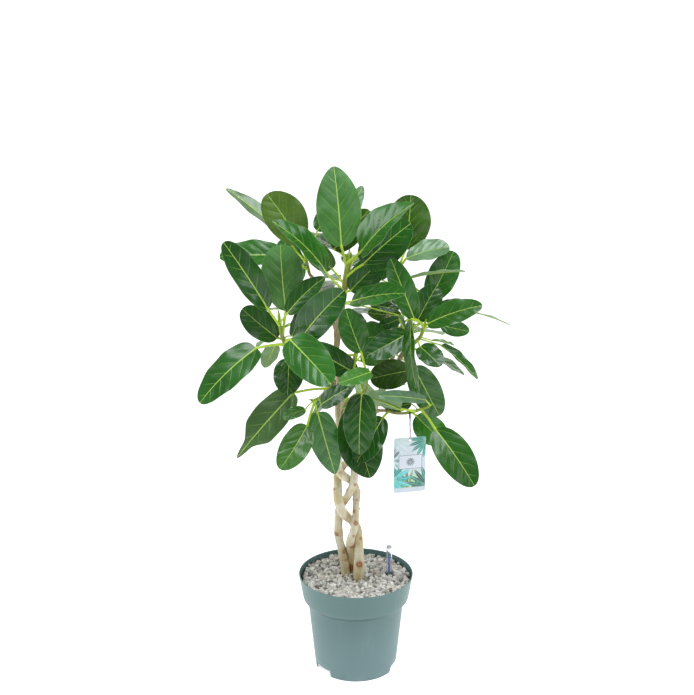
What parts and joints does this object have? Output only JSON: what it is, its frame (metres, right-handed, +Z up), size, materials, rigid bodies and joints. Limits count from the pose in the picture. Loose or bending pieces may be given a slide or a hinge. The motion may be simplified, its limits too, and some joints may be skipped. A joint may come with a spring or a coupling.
{
  "type": "potted banyan tree",
  "caption": "House plant: a braided-stem banyan with a round crown of broad leaves, in a tapered nursery pot of pale grains, with a water gauge and a hang tag.",
  "frame": {"origin": "on the pot's axis at the floor", "axes": "+Z up along the pot's axis, -Y to the front that faces the viewer, +X to the viewer's right"},
  "size_m": [0.6216, 0.3909, 1.08],
  "materials": {
    "pot_plastic": "satin moulded plastic",
    "granules": "rough pale volcanic grains",
    "bark": "smooth living bark",
    "leaves": "glossy leathery leaves",
    "clear_plastic": "clear, polished",
    "blue_plastic": "moulded",
    "dark_rubber": "matte",
    "printed_card": "coated card",
    "tie_plastic": "thin strip"
  },
  "bodies": {
    "root": {"pot": "pot_plastic", "granules": "granules", "stem_left": "bark", "stem_centre": "bark", "stem_right": "bark", "shoot_top": "leaves", "shoot_upper_left": "leaves", "shoot_left": "leaves", "shoot_low_left": "leaves", "shoot_front": "leaves", "shoot_tag": "leaves", "shoot_right": "leaves", "shoot_right_rear": "leaves", "shoot_upper_right": "leaves", "shoot_far_top": "leaves", "shoot_far_left": "leaves", "shoot_far_right": "leaves", "shoot_far_low": "leaves", "gauge_tube": "clear_plastic", "gauge_float": "blue_plastic", "gauge_collar": "dark_rubber", "tag_card": "printed_card", "tag_tie": "tie_plastic"}
  },
  "joints": []
}
